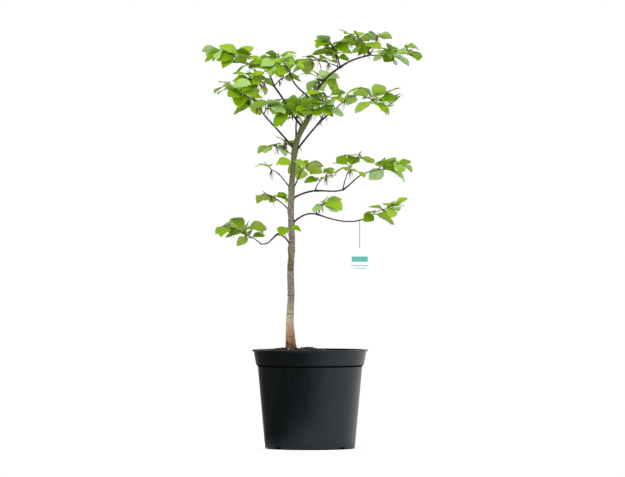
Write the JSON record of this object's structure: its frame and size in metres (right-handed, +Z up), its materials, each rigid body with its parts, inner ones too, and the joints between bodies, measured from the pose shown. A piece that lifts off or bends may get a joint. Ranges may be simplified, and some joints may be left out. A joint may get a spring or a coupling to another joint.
{
  "type": "potted beech tree",
  "caption": "Young beech tree with a slim trunk, spreading boughs and tiers of broad green leaves, in a round black nursery pot full of potting mix, with a plain hang tag.",
  "frame": {"origin": "centre of the pot's flat underside, where it stands", "axes": "+Z up the tree, +X to the right of someone who looks along +Y"},
  "size_m": [0.4879, 0.3192, 0.9416],
  "materials": {
    "pot_plastic": "moulded black plastic with a soft sheen",
    "potting_mix": "moist, crumbly potting mix with bark chips",
    "bark": "smooth grey-brown bark",
    "young_bark": "thin reddish-brown bark",
    "foliage": "satin green leaves",
    "card": "plain white card",
    "thread": "dark spun thread"
  },
  "bodies": {
    "root": {"pot": "pot_plastic", "potting_mix": "potting_mix", "trunk": "bark", "bough_low_left_1": "young_bark", "bough_low_left_2": "young_bark", "bough_low_right_1": "young_bark", "bough_low_right_2": "young_bark", "bough_left_spur": "young_bark", "bough_mid_right_1": "young_bark", "bough_mid_right_2": "young_bark", "bough_mid_right_3": "young_bark", "bough_left_twig": "young_bark", "bough_mid_back": "young_bark", "bough_upper_right_1": "young_bark", "bough_upper_right_2": "young_bark", "bough_upper_left": "young_bark", "bough_back": "young_bark", "bough_top_left_1": "young_bark", "bough_top_left_2": "young_bark", "bough_top_back": "young_bark", "bough_top_spur": "young_bark", "bough_leader_1": "young_bark", "bough_leader_2": "young_bark", "foliage_low_left_1": "foliage", "foliage_low_left_2": "foliage", "foliage_low_right_1": "foliage", "foliage_low_right_2": "foliage", "foliage_left_spur": "foliage", "foliage_mid_right_1": "foliage", "foliage_mid_right_2": "foliage", "foliage_mid_right_3": "foliage", "foliage_left_twig": "foliage", "foliage_mid_back": "foliage", "foliage_mid_front": "foliage", "foliage_mid_left": "foliage", "foliage_upper_left_1": "foliage", "foliage_upper_left_2": "foliage", "foliage_upper_left_3": "foliage", "foliage_back": "foliage", "foliage_centre_left": "foliage", "foliage_centre_front": "foliage", "foliage_centre_right": "foliage", "foliage_upper_right_1": "foliage", "foliage_upper_right_2": "foliage", "foliage_top_left_1": "foliage", "foliage_top_left_2": "foliage", "foliage_top_left_3": "foliage", "foliage_top_left_4": "foliage", "foliage_top_back": "foliage", "foliage_top_spur": "foliage", "foliage_leader_1": "foliage", "foliage_leader_2": "foliage", "foliage_leader_3": "foliage", "foliage_leader_4": "foliage", "foliage_leader_5": "foliage", "tag_card": "card", "tag_thread": "thread"}
  },
  "joints": []
}
